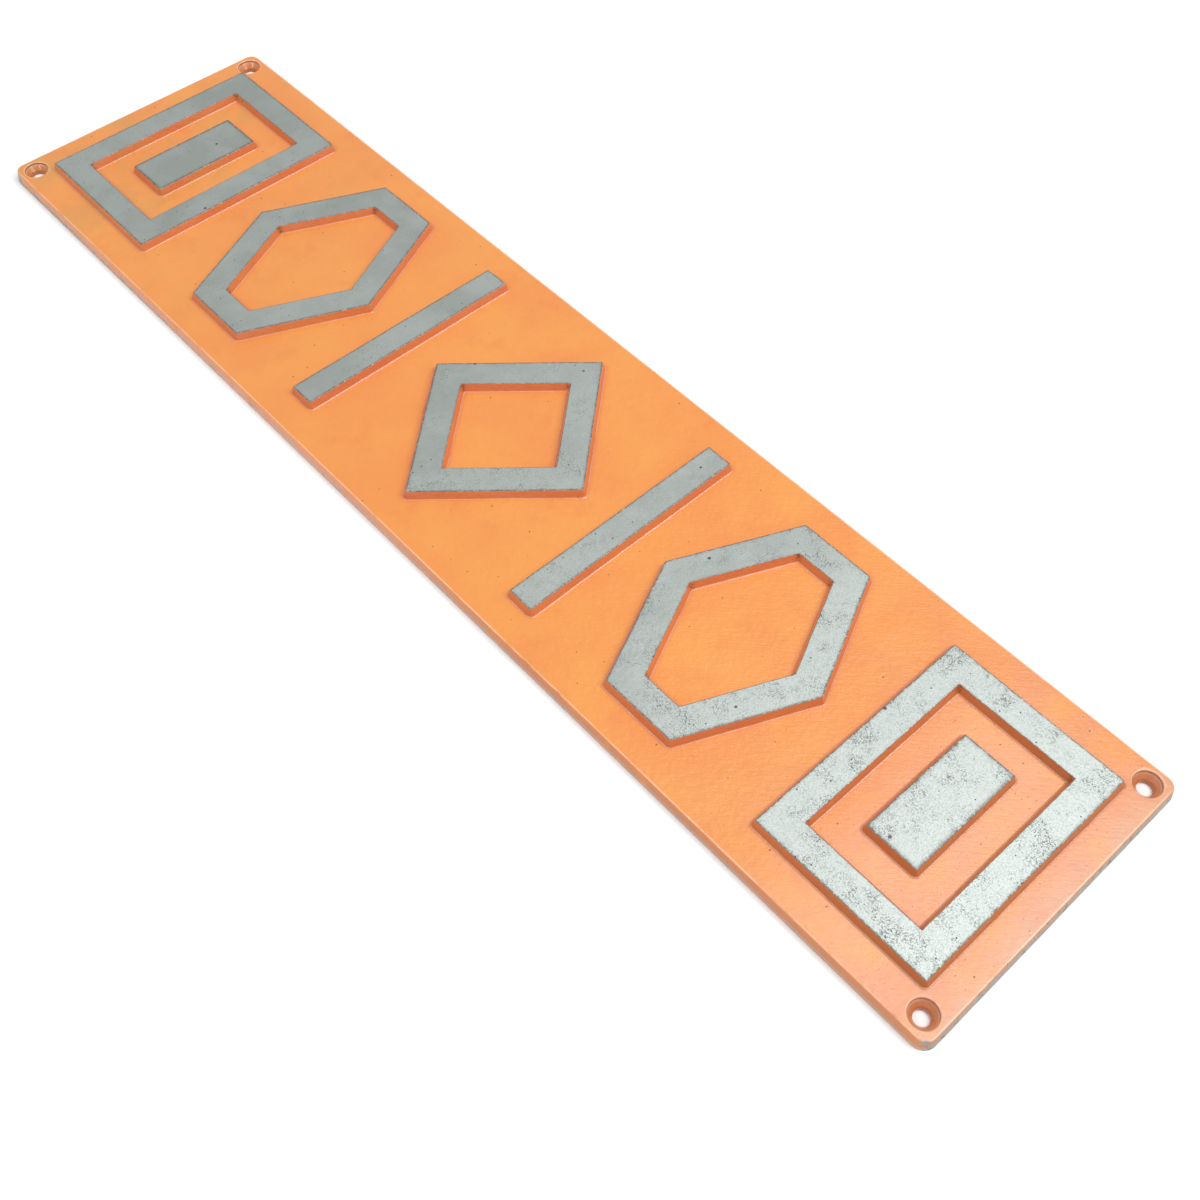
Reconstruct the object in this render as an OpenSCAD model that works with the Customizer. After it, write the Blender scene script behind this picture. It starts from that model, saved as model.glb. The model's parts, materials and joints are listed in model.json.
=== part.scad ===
// Long cast sign plate: a painted ground with drafted, rounded sides, a countersunk
// screw hole in each corner, and a symmetrical row of raised geometric figures whose
// faces are ground back to bare metal. The plate lies on its flat back at z = 0,
// with its length along X and its width along Y.

/* [Plate] */
// Length of the plate, along X
plate_l = 612; // [510:1:740]
// Width of the plate, along Y
plate_w = 150; // [125:1:180]
// Thickness of the plate, without the raised figures
plate_t = 5.5; // [4.6:0.1:6.6]
// Radius of the plate's corners, seen from above
corner_r = 6; // [5:0.5:7.5]
// Radius of the rounded edge between face and side
edge_r = 1.2; // [1:0.1:1.5]
// How far each side leans in, from the back up to the face
side_draft = 0.8; // [0.5:0.1:1]

/* [Screw holes] */
// Distance from a hole's centre to each of the two sides beside it
hole_inset = 9.5; // [7.9:0.1:11.4]
// Diameter of the clearance hole
hole_d = 6.5; // [5.4:0.1:7.8]
// Diameter of the countersink for the screw's head
head_d = 11.6; // [9.6:0.1:14]
// Depth of the straight wall above the cone that seats the head
head_sink = 1.2; // [1:0.1:1.4]
// Width of the bevel around the mouth of the countersink
mouth_bevel = 0.4; // [0.3:0.05:0.5]

/* [Raised figures] */
// Height of the figures' faces above the plate's face
relief = 3.7; // [3:0.1:4.5]
// Width of the bars and of the strokes of the frames
stroke = 13; // [10.8:0.1:15.6]
// Gap between neighbouring figures, at their faces
figure_gap = 19; // [15.8:0.1:22.8]
// Gap along X between a countersink and the row of figures
end_clear = 0.3; // [0.2:0.1:2]
// Gap along Y between a countersink and the row of figures
side_clear = 1.8; // [1.5:0.1:3]
// How far a figure's wall leans out, from its face down to its toe
wall_draft = 1; // [0.8:0.1:1.2]
// How far the toe, which stands for the casting's fillet, spreads past the wall
toe_w = 1; // [0.8:0.1:1.2]
// Height of the toe
toe_h = 0.8; // [0.6:0.1:1]
// How much wider the diamond is than a hexagon
diamond_extra = 12; // [8:1:16]
// How much narrower a square frame is than a hexagon
frame_less = 6; // [4:1:8]
// Length of a hexagon's upper and lower edges
hexagon_edge = 36; // [30:1:43]
// Width of the solid block inside a square frame
block_w = 24; // [20:1:28]

/* [Hidden] */
$fn = 96;
overshoot = 1; // how far a cutter runs past the face that it cuts

// Screw holes
hole_x = plate_l / 2 - hole_inset;
hole_y = plate_w / 2 - hole_inset;
mouth_r = head_d / 2 + mouth_bevel;
seat_h = (head_d - hole_d) / 2; // a 90 degree cone

// Row of figures, from the middle out: a diamond, then a bar, a hexagon and a square frame
// on each side
figure_h = plate_w - 2 * (hole_inset + mouth_r + side_clear);
row_l = plate_l - 2 * (hole_inset + mouth_r + end_clear);
hexagon_w = (row_l - 2 * stroke - 6 * figure_gap + 2 * frame_less - diamond_extra) / 5;
frame_w = hexagon_w - frame_less;
diamond_w = hexagon_w + diamond_extra;
bar_x = (diamond_w + stroke) / 2 + figure_gap;
hexagon_x = bar_x + (stroke + hexagon_w) / 2 + figure_gap;
frame_x = hexagon_x + (hexagon_w + frame_w) / 2 + figure_gap;

// The block keeps the same gap to its frame on all four sides
block_gap = (frame_w - block_w) / 2 - stroke;
block_h = figure_h - 2 * (stroke + block_gap);

// Outlines, counterclockwise, centred on the origin
function rectangle(w, h) = [[-w, -h], [w, -h], [w, h], [-w, h]] / 2;
function diamond(w, h) = [[0, -h], [w, 0], [0, h], [-w, 0]] / 2;
function hexagon(w, h, edge) =
    [[-edge, -h], [edge, -h], [w, 0], [edge, h], [-edge, h], [-w, 0]] / 2;

function outward(p, q) = let (d = q - p) [d.y, -d.x] / norm(d);

// The same outline with every edge moved outwards by a distance, or inwards if it is negative
function grown(outline, by) =
    let (n = len(outline))
    [for (i = [0:n - 1])
        let (before = outward(outline[(i + n - 1) % n], outline[i]),
             after = outward(outline[i], outline[(i + 1) % n]))
        outline[i] + by * (before + after) / (1 + before * after)];

// A closed solid through a stack of outlines that have the same number of corners
module stacked(levels) {
    n = len(levels[0][1]);
    top = len(levels) - 1;
    polyhedron(
        points = [for (level = levels) for (p = level[1]) [p.x, p.y, level[0]]],
        faces = concat(
            [[for (i = [0:n - 1]) i]],
            [for (k = [0:top - 1]) for (i = [0:n - 1])
                [k * n + i, (k + 1) * n + i, (k + 1) * n + (i + 1) % n, k * n + (i + 1) % n]],
            [[for (i = [n - 1:-1:0]) top * n + i]]),
        convexity = 2);
}

// A raised figure with drafted walls and a toe, standing on z = 0
module boss(outline) {
    stacked([[0, grown(outline, wall_draft + toe_w)],
             [toe_h, grown(outline, wall_draft)],
             [relief, outline]]);
}

// What a frame leaves open: its walls lean the other way
module counter(outline) {
    stacked([[-overshoot, grown(outline, -wall_draft - toe_w)],
             [0, grown(outline, -wall_draft - toe_w)],
             [toe_h, grown(outline, -wall_draft)],
             [relief, outline],
             [relief + overshoot, outline]]);
}

module ring(outline) {
    difference() {
        boss(outline);
        counter(grown(outline, -stroke));
    }
}

// Half of the plate's cross-section, from its middle out to the side
module half_section(reach) {
    shoulder = reach - side_draft;
    polygon([[0, 0], [reach, 0], [shoulder, plate_t - edge_r],
             [shoulder - edge_r, plate_t - edge_r], [shoulder - edge_r, plate_t], [0, plate_t]]);
    translate([shoulder - edge_r, plate_t - edge_r]) circle(edge_r);
}

module full_section(reach) {
    half_section(reach);
    mirror([1, 0]) half_section(reach);
}

module plate_blank() {
    rotate([90, 0, 90])
        linear_extrude(plate_l - 2 * corner_r, center = true) full_section(plate_w / 2);
    rotate([90, 0, 0])
        linear_extrude(plate_w - 2 * corner_r, center = true) full_section(plate_l / 2);
    for (x = [-1, 1], y = [-1, 1])
        translate([x * (plate_l / 2 - corner_r), y * (plate_w / 2 - corner_r), 0])
            rotate_extrude() half_section(corner_r);
}

// Clearance hole, conical seat, straight wall and bevelled mouth
module screw_hole() {
    translate([0, 0, -overshoot]) cylinder(d = hole_d, h = plate_t + 2 * overshoot);
    translate([0, 0, plate_t - head_sink - seat_h])
        cylinder(d1 = hole_d, d2 = head_d, h = seat_h);
    translate([0, 0, plate_t - head_sink]) cylinder(d = head_d, h = head_sink + overshoot);
    translate([0, 0, plate_t - mouth_bevel])
        cylinder(r1 = head_d / 2, r2 = mouth_r + overshoot, h = mouth_bevel + overshoot);
}

module base_plate() {
    color("darkorange") difference() {
        plate_blank();
        for (x = [-1, 1], y = [-1, 1])
            translate([x * hole_x, y * hole_y, 0]) screw_hole();
    }
}

// Stands a raised figure on the plate's face
module on_plate(x) {
    color("silver") translate([x, 0, plate_t]) children();
}

// The figures beside the diamond come in pairs: side is -1 on the left and 1 on the right
module square_frame(side) {
    on_plate(side * frame_x) ring(rectangle(frame_w, figure_h));
}

module inner_block(side) {
    on_plate(side * frame_x) boss(rectangle(block_w, block_h));
}

module hexagon_frame(side) {
    on_plate(side * hexagon_x) ring(hexagon(hexagon_w, figure_h, hexagon_edge));
}

module bar(side) {
    on_plate(side * bar_x) boss(rectangle(stroke, figure_h));
}

module centre_diamond() {
    on_plate(0) ring(diamond(diamond_w, figure_h));
}

base_plate();
square_frame(-1);  // left_frame
inner_block(-1);  // left_block
hexagon_frame(-1);  // left_hexagon
bar(-1);  // left_bar
centre_diamond();
bar(1);  // right_bar
hexagon_frame(1);  // right_hexagon
inner_block(1);  // right_block
square_frame(1);  // right_frame
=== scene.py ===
"""Looks of a cast sign plate: worn orange enamel over an aluminium casting, with a row of
raised figures whose faces are ground back to bare metal. Units are metres, in the CAD frame.
"""

import json
import math

import bpy
from mathutils import Matrix, Vector, noise


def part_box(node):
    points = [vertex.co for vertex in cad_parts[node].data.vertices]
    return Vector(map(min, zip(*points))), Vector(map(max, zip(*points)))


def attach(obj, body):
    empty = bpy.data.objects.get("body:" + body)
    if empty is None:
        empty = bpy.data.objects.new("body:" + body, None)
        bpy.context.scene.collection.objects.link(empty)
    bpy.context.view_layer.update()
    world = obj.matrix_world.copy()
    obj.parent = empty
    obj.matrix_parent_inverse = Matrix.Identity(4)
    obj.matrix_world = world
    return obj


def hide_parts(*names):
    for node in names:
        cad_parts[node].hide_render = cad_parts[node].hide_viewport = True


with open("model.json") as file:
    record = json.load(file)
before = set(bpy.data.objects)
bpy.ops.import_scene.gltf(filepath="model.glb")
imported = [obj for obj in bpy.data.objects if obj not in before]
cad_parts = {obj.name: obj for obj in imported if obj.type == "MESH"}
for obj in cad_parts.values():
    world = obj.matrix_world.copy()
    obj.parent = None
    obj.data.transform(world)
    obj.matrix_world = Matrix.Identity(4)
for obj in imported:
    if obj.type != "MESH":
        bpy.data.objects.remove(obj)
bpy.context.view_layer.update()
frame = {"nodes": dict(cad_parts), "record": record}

MM = 0.001
SAME_PLACE = 0.01 * MM         # points closer than this are one point
BODY = "root"
FIGURES = [node for node in frame["nodes"] if node != "base_plate"]


# ---------------------------------------------------------------- sizes read from the CAD

OPENING_DEPTH = 1 * MM         # points this far inside a figure's outline are its opening's
EDGE_R_LEAST = 0.5 * MM        # the plate's rounded edge is bigger than this
LAND_MARGIN = 0.05 * MM        # keeps the plate's edge out of a hole's points


def cad_points(node):
    return [v.co.copy() for v in frame["nodes"][node].data.vertices]


def same(a, b):
    return abs(a - b) < SAME_PLACE


def unique(points):
    """The points without those that repeat another."""
    kept = []
    for p in points:
        if all((p - q).length > SAME_PLACE for q in kept):
            kept.append(p)
    return kept


def hull(points):
    """The convex outline of a set of 2D points, counterclockwise."""
    points = sorted(points, key=lambda p: (p.x, p.y))
    straight = 1e-9

    def half(run):
        chain = []
        for p in run:
            while len(chain) > 1 and (chain[-1] - chain[-2]).cross(p - chain[-1]) <= straight:
                chain.pop()
            chain.append(p)
        return chain[:-1]

    return half(points) + half(points[::-1])


def depth_inside(p, outline):
    """Distance from a point inside a convex outline to its nearest edge."""
    edges = zip(outline, outline[1:] + outline[:1])
    return min((b - a).normalized().cross(p - a) for a, b in edges)


def outlines_at(node, z):
    """A figure's outer outline at a height, and the outline of its opening or None."""
    places = unique([p.xy for p in cad_points(node) if same(p.z, z)])
    outer = hull(places)
    inner = [p for p in places if depth_inside(p, outer) > OPENING_DEPTH]
    return outer, hull(inner) if inner else None


def span(outline):
    return max(p.x for p in outline) - min(p.x for p in outline)


HALF_L, HALF_W, PLATE_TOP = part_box("base_plate")[1]
FACE_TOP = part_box("centre_diamond")[1].z
RELIEF = FACE_TOP - PLATE_TOP

# How far a figure's foot spreads past its face
FOOT_WIDTH = span(outlines_at("left_bar", PLATE_TOP)[0])
FACE_WIDTH = span(outlines_at("left_bar", FACE_TOP)[0])
FOOT_SPREAD = (FOOT_WIDTH - FACE_WIDTH) / 2

# The plate's rounded corner and the profile of its side. The shoulder, where the side meets
# the rounded edge, lies as far below the face as it lies outside it.
PLATE_POINTS = cad_points("base_plate")
CORNER_R = HALF_W - max(p.y for p in PLATE_POINTS if same(p.x, HALF_L) and same(p.z, 0))
SIDE_LEVELS = [(p.z, HALF_L - p.x) for p in PLATE_POINTS
               if same(p.y, HALF_W - CORNER_R) and p.x > HALF_L - CORNER_R]
FACE_INSET = min(inset for z, inset in SIDE_LEVELS if same(z, PLATE_TOP))
SHOULDER_Z, SHOULDER_INSET = min(
    (level for level in SIDE_LEVELS if level[0] < PLATE_TOP - EDGE_R_LEAST),
    key=lambda level: abs((FACE_INSET - level[1]) - (PLATE_TOP - level[0])))
EDGE_R = PLATE_TOP - SHOULDER_Z

# The screw holes: where they are, their radii at the mouth, the head and the shank, and the
# heights between which the seat's cone lies
BOLTS = next(m for m in frame["record"]["mounts"] if m["kind"] == "bolt_pattern")["dims"]
HOLE_X = BOLTS["spacing_x_mm"] * MM / 2
HOLE_Y = BOLTS["spacing_y_mm"] * MM / 2
HOLE_R = BOLTS["hole_r_mm"] * MM
FIRST_HOLE = Vector((HOLE_X, HOLE_Y))
LAND = HALF_L - HOLE_X - FACE_INSET     # from a hole's centre to the edge of the face
HOLE_LEVELS = sorted((p.z, (p.xy - FIRST_HOLE).length) for p in PLATE_POINTS
                     if (p.xy - FIRST_HOLE).length < LAND - LAND_MARGIN)
MOUTH_R = HOLE_LEVELS[-1][1]
HEAD_R = [r for z, r in HOLE_LEVELS if z < PLATE_TOP - SAME_PLACE][-1]
SEAT_LOW = max(z for z, r in HOLE_LEVELS if same(r, HOLE_R))
SEAT_HIGH = min(z for z, r in HOLE_LEVELS if same(r, HEAD_R))


# ---------------------------------------------------------------- small tools

BROAD_DIP, BROAD_DIP_SIZE, BROAD_DIP_SEED = 0.09 * MM, 55 * MM, 0.11
FINE_DIP, FINE_DIP_SIZE, FINE_DIP_SEED = 0.03 * MM, 9 * MM, 0.53


def smooth(low, high, value):
    """0 below low and 1 above high, with a soft step between them."""
    t = min(max((value - low) / (high - low), 0), 1)
    return t * t * (3 - 2 * t)


def wave(x, y, z, size):
    """Smooth noise from about -1 to 1 whose bumps are about size across."""
    return noise.noise(Vector((x, y, z)) / size)


def new_piece(name, points, faces, attributes, materials, material_of_face=None):
    """A smooth-shaded mesh object with named numbers on its points."""
    mesh = bpy.data.meshes.new(name)
    mesh.from_pydata([tuple(p) for p in points], [], faces)
    for key, values in attributes.items():
        layer = mesh.attributes.new(key, "FLOAT", "POINT")
        layer.data.foreach_set("value", values)
    mesh.validate()
    mesh.update()
    for material in materials:
        mesh.materials.append(material)
    if material_of_face:
        mesh.polygons.foreach_set("material_index", material_of_face)
    mesh.polygons.foreach_set("use_smooth", [True] * len(mesh.polygons))
    piece = bpy.data.objects.new(name, mesh)
    bpy.context.scene.collection.objects.link(piece)
    return piece


def grown(outline, by):
    """An outline with every edge moved outwards, as in the CAD."""
    moved = []
    for i, p in enumerate(outline):
        before = (p - outline[i - 1]).normalized()
        after = (outline[(i + 1) % len(outline)] - p).normalized()
        before = Vector((before.y, -before.x))
        after = Vector((after.y, -after.x))
        moved.append(p + by * (before + after) / (1 + before.dot(after)))
    return moved


def rounded(outline, radius, arc_steps, edge_steps):
    """Samples round an outline with rounded corners. The counts don't depend on the radius,
    so the loops at all heights of a wall match point for point.
    """
    arcs = []
    for i, p in enumerate(outline):
        back = (outline[i - 1] - p).normalized()
        ahead = (outline[(i + 1) % len(outline)] - p).normalized()
        turn = math.pi - back.angle(ahead)
        reach = radius * math.tan(turn / 2)
        start = p + back * reach
        centre = p + (back + ahead).normalized() * radius / math.cos(turn / 2)
        arc = []
        for k in range(arc_steps + 1):
            at = Matrix.Rotation(turn * k / arc_steps, 2) @ (start - centre)
            arc.append(centre + at)
        arcs.append(arc)
    samples = []
    for i, arc in enumerate(arcs):
        end, start = arc[-1], arcs[(i + 1) % len(arcs)][0]
        steps = edge_steps[i]
        samples += arc
        samples += [end.lerp(start, k / steps) for k in range(1, steps)]
    return samples


def outward_normals(loop):
    normals = []
    for i in range(len(loop)):
        along = loop[(i + 1) % len(loop)] - loop[i - 1]
        normals.append(Vector((along.y, -along.x)).normalized())
    return normals


def plate_face_dip(x, y):
    """The cast face isn't quite flat. It never stands above its CAD height."""
    broad = 0.5 + 0.5 * wave(x, y, BROAD_DIP_SEED, BROAD_DIP_SIZE)
    fine = 0.5 + 0.5 * wave(x, y, FINE_DIP_SEED, FINE_DIP_SIZE)
    return BROAD_DIP * broad + FINE_DIP * fine


# ---------------------------------------------------------------- raised figures

ARC_STEPS = 6
SAMPLE_GAP = 1.1 * MM          # between samples along a straight edge
EDGE_STEPS_LEAST = 4
SINK = 0.3 * MM                # how far a figure's foot runs into the plate ...
SINK_SPREAD = 0.1 * MM         # ... and how much wider it is down there
FOOT_CORNER_R = 2.3 * MM       # the outer corners are cast round at the foot ...
FACE_CORNER_R = 0.3 * MM       # ... and left sharp at the ground face
OPENING_CORNER_R = 0.45 * MM
FILLET_R = 0.8 * MM            # where a wall meets the plate
FILLET_TURN = math.radians(70)
FILLET_STEPS = 5
WALL_TOP_SPREAD = 0.05 * MM
ARRIS = 0.12 * MM              # the burr broken off along the ground face's edge
WALL_ROWS = (0.06, 0.3, 0.65, 0.93, 1)          # up the straight wall, as parts of it
FACE_ROWS = (0.02, 0.05, 0.1, 0.2, 0.35, 0.5)   # across half a stroke, as parts of a stroke
CORE = 0.48                    # a solid figure's rows end this far in, as part of its width
CORE_CORNER_R = 0.02 * MM
SEED_STEP = 0.37               # between the noise of one figure and the next

# The depth and the size of the bumps of each unevenness
WANDER, WANDER_SIZE = 0.10 * MM, 24 * MM        # of the hand-cut pattern
SKIN, SKIN_SIZE = 0.06 * MM, 3.5 * MM           # of the casting's skin
RAGGED, RAGGED_SIZE = 0.13 * MM, 2.2 * MM       # of the line that grinding leaves on top
FACE_DIP, FACE_DIP_SIZE = 0.03 * MM, 18 * MM    # of the ground face
RAGGED_FROM = 0.6              # how far up a wall it starts to be ragged, as a part of it
DIP_END = 0.3                  # how far up a wall still follows the dip of the plate's face

# Masks: the rim's by rings from where it is darkest, the fillet's painted highlight by rings up
# the wall, and the painted shade in the corners by distance from an inner corner
RIM_BY_RING = {0: 1.0, 1: 0.6, 2: 0.15}
FILLET_HIGHLIGHT_BY_RING = {2: 0.2, 3: 0.6, 4: 0.4}
# painted shade in an opening's inner corners: full near the corner, gone at the end distance
CORNER_SHADE_DENSE, CORNER_SHADE_END = 0.8 * MM, 2.8 * MM


def wall_profile():
    """(spread, height) up a figure's wall, from below the plate's face to the face of the
    figure: a tight hollow fillet, a straight drafted wall and a broken arris.
    """
    rows = [(FOOT_SPREAD + SINK_SPREAD, -SINK)]
    for k in range(FILLET_STEPS + 1):
        a = FILLET_TURN * k / FILLET_STEPS
        rows.append((FOOT_SPREAD - FILLET_R * math.sin(a), FILLET_R * (1 - math.cos(a))))
    foot, low = rows[-1]
    for t in WALL_ROWS:
        rows.append((foot * (1 - t) + WALL_TOP_SPREAD * t, low + (RELIEF - ARRIS - low) * t))
    rows.append((-ARRIS, RELIEF))
    return rows


PROFILE = wall_profile()


def wall_loops(outline, outside, edge_steps, seed):
    """The loops of 3D points up one wall, from the foot to the edge of the face."""
    loops = []
    for spread, height in PROFILE:
        up = min(max(height / RELIEF, 0), 1)
        if outside:
            radius = FOOT_CORNER_R + (FACE_CORNER_R - FOOT_CORNER_R) * up
            flat = rounded(grown(outline, spread), radius, ARC_STEPS, edge_steps)
            normals = outward_normals(flat)
        else:
            flat = rounded(grown(outline, -spread), OPENING_CORNER_R, ARC_STEPS, edge_steps)
            normals = [-normal for normal in outward_normals(flat)]
        loop = []
        for p, normal in zip(flat, normals):
            wander = WANDER * wave(p.x, p.y, seed, WANDER_SIZE)
            skin = SKIN * wave(p.x, p.y, seed + height, SKIN_SIZE)
            ragged = RAGGED * wave(p.x, p.y, seed, RAGGED_SIZE)
            at = p + normal * (wander + skin + ragged * smooth(RAGGED_FROM, 1, up))
            dip = plate_face_dip(at.x, at.y) * (1 - smooth(0, DIP_END, up))
            loop.append(Vector((at.x, at.y, PLATE_TOP + height - dip)))
        loops.append(loop)
    return loops


def face_rings(edge, target, parts, seed):
    """Rings across a ground face, from its edge towards a target loop. Ground flat by hand,
    the face dips a little, and never stands above its CAD height.
    """
    rings = []
    for part in parts:
        ring = []
        for a, b in zip(edge, target):
            p = a.lerp(b, part)
            dip = FACE_DIP * (1 + wave(p.x, p.y, seed, FACE_DIP_SIZE))
            ring.append(Vector((p.x, p.y, p.z - dip)))
        rings.append(ring)
    return rings


def matched(inner, outer):
    """The inner outline, started at the corner that matches the outer outline's first one,
    so the face's rows run mitre to mitre.
    """
    centre = sum(outer, Vector((0, 0))) / len(outer)
    wanted = (outer[0] - centre).normalized()
    first = min(range(len(inner)),
                key=lambda i: ((inner[i] - centre).normalized() - wanted).length)
    return inner[first:] + inner[:first]


def figure_rings(outer, inner, seed):
    """A figure's rings of points: up the outer wall and across the ground face, then down the
    opening's wall, or in to the core of a solid figure. With them come the rows between
    rings that are bare metal, and the rings at which the rim is darkest.
    """
    lengths = [(outer[(i + 1) % len(outer)] - p).length for i, p in enumerate(outer)]
    edge_steps = [max(EDGE_STEPS_LEAST, round(length / SAMPLE_GAP)) for length in lengths]
    outside = wall_loops(outer, True, edge_steps, seed)
    bare_start = len(outside) - 2
    if inner:
        inside = wall_loops(matched(inner, outer), False, edge_steps, seed)
        parts = FACE_ROWS + tuple(1 - t for t in FACE_ROWS[-2::-1])
        across = outside + face_rings(outside[-1], inside[-1], parts, seed)
        rings = across + inside[::-1]
        bare_end = len(across)
        rims = (bare_start + 1, bare_end + 1)
    else:
        core = rounded(grown(outer, -CORE * min(lengths)), CORE_CORNER_R, ARC_STEPS, edge_steps)
        core = [Vector((p.x, p.y, FACE_TOP)) for p in core]
        rings = outside + face_rings(outside[-1], core, [2 * t for t in FACE_ROWS], seed)
        bare_end = len(rings) - 1
        rims = (bare_start + 1,)
    return rings, range(bare_start, bare_end + 1), rims


def figure_faces(rings, is_frame, bare_rows):
    """The faces between the rings, and a 1 for each that is bare metal. A frame's rings close
    on themselves under its foot, and a solid figure gets two caps.
    """
    count = len(rings[0])
    faces, bare_faces = [], []
    for r in range(len(rings) if is_frame else len(rings) - 1):
        a, b = r * count, ((r + 1) % len(rings)) * count
        for i in range(count):
            j = (i + 1) % count
            faces.append((a + i, a + j, b + j, b + i))
            bare_faces.append(1 if r in bare_rows else 0)
    if not is_frame:
        faces.append(tuple((len(rings) - 1) * count + i for i in range(count)))
        faces.append(tuple(reversed(range(count))))
        bare_faces += [1, 0]
    return faces, bare_faces


def figure_masks(rings, inner, bare_rows, rims):
    """The rim of the ground face, painted shade in the opening's corners, and the painted
    highlight on the fillets, by point.
    """
    rim, corner_shade, edge = [], [], []
    for r, ring in enumerate(rings):
        from_rim = min(abs(r - darkest) for darkest in rims)
        wall_row = r if r < len(PROFILE) else len(rings) - 1 - r
        rim += [RIM_BY_RING.get(from_rim, 0.0)] * len(ring)
        # painted highlight on the fillet at the wall's foot
        edge += [FILLET_HIGHLIGHT_BY_RING.get(wall_row, 0.0)] * len(ring)
        for p in ring:
            # painted shade near the opening's inner corners
            if inner and r > bare_rows[-1]:
                nearest = min((p.xy - corner).length for corner in inner)
                corner_shade.append(1 - smooth(CORNER_SHADE_DENSE, CORNER_SHADE_END, nearest))
            else:
                corner_shade.append(0.0)
    return {"rim": rim, "corner_shade": corner_shade, "edge": edge}


def build_figure(node, paint, bare):
    outer, inner = outlines_at(node, FACE_TOP)
    seed = (FIGURES.index(node) + 1) * SEED_STEP
    rings, bare_rows, rims = figure_rings(outer, inner, seed)
    faces, bare_faces = figure_faces(rings, inner is not None, bare_rows)
    masks = figure_masks(rings, inner, bare_rows, rims)
    piece = new_piece(node + "_casting", [p for ring in rings for p in ring], faces, masks,
                      (paint, bare), bare_faces)
    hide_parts(node)
    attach(piece, BODY)
    return piece


# ---------------------------------------------------------------- the plate's mesh

CELL = 2 * MM                  # grid on the open face
CORNER_STEPS = 12              # steps round a plate corner, and along each straight beside it
PATCH_STEPS = 3 * CORNER_STEPS // 2    # cells along each side of the square patch round a hole
EDGE_STEPS = 7                 # steps round the edge between side and face
SIDE_ROWS = (0.1, 0.3, 0.55, 0.8, 1)            # up the side, as parts of it
BACK_ARRIS = 0.35 * MM
ROUNDING = 7                   # decimals of a metre to which points of one place agree

BEVEL = MOUTH_R - HEAD_R
WALL_TOP = 0.55 * MM           # depth below the face at which a hole's straight wall starts
MOUTH_RINGS = (                # radius and depth below the face: the worn mouth and its bevel
    (MOUTH_R + 0.12 * MM, 0),
    (MOUTH_R, 0.03 * MM),
    (MOUTH_R - 0.1 * MM, 0.12 * MM),
    (MOUTH_R - BEVEL + 0.08 * MM, 0.34 * MM),
    (MOUTH_R - BEVEL + 0.01 * MM, 0.43 * MM),
    (MOUTH_R - BEVEL, WALL_TOP),
)
PATCH_ROWS = (0.35, 0.7)       # from the patch's border to the mouth, as parts of the way
WELL_ROWS = (0.5, 0.85, 0.97)  # down the straight wall, as parts of it
CONE_ROWS = (0.08, 0.35, 0.65, 0.95)            # down the seat's cone, as parts of it
SHANK_ARRIS = 0.2 * MM         # height of the broken edges of the clearance hole ...
SHANK_BELL = 0.15 * MM         # ... and how far it opens at the back


class PatchedMesh:
    """Points and faces. The same place is one vertex, so the patches of the mesh join."""

    def __init__(self):
        self.points, self.faces, self.places = [], [], {}

    def add(self, x, y, z):
        key = (round(x, ROUNDING), round(y, ROUNDING), round(z, ROUNDING))
        if key not in self.places:
            self.places[key] = len(self.points)
            self.points.append(Vector((x, y, z)))
        return self.places[key]

    def ring(self, samples, z):
        return [self.add(p.x, p.y, z) for p in samples]

    def strip(self, ring_a, ring_b):
        for i in range(len(ring_a)):
            j = (i + 1) % len(ring_a)
            self.faces.append((ring_a[i], ring_a[j], ring_b[j], ring_b[i]))


def spread_evenly(low, high, steps):
    return [low + (high - low) * k / steps for k in range(steps + 1)]


def grid_lines(half, hole_at):
    """Lines across the face: fine over the two hole patches and coarser between them."""
    reach = half - FACE_INSET
    inner = reach - 2 * (reach - hole_at)
    low = spread_evenly(-reach, -inner, PATCH_STEPS)
    middle = spread_evenly(-inner, inner, round(2 * inner / CELL))
    high = spread_evenly(inner, reach, PATCH_STEPS)
    return low[:-1] + middle + high[1:]


GRID_X = grid_lines(HALF_L, HOLE_X)
GRID_Y = grid_lines(HALF_W, HOLE_Y)
PATCH_X = GRID_X[-1 - PATCH_STEPS]     # where the patch of the first hole starts
PATCH_Y = GRID_Y[-1 - PATCH_STEPS]


def side_loop(inset):
    """The loop of (x, y) samples round the plate at an inset from its back outline, starting
    at the patch corner on the +X side. Straight samples keep their place along the side, so
    the loops of all heights and the face's grid match.
    """
    radius = CORNER_R - inset
    arc_x, arc_y = HALF_L - CORNER_R, HALF_W - CORNER_R
    quarter = [Vector((HALF_L - inset, y)) for y in spread_evenly(PATCH_Y, arc_y, CORNER_STEPS)]
    for k in range(1, CORNER_STEPS):
        a = math.pi / 2 * k / CORNER_STEPS
        quarter.append(Vector((arc_x + radius * math.cos(a), arc_y + radius * math.sin(a))))
    quarter += [Vector((x, HALF_W - inset)) for x in spread_evenly(arc_x, PATCH_X, CORNER_STEPS)]
    between = slice(PATCH_STEPS + 1, -1 - PATCH_STEPS)
    along_x = [Vector((x, HALF_W - inset)) for x in reversed(GRID_X[between])]
    along_y = [Vector((-HALF_L + inset, y)) for y in reversed(GRID_Y[between])]
    loop = quarter + along_x
    loop += [Vector((-p.x, p.y)) for p in reversed(quarter)] + along_y
    loop += [-p for p in quarter] + [-p for p in along_x]
    loop += [Vector((p.x, -p.y)) for p in reversed(quarter)] + [-p for p in along_y]
    return loop


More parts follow.
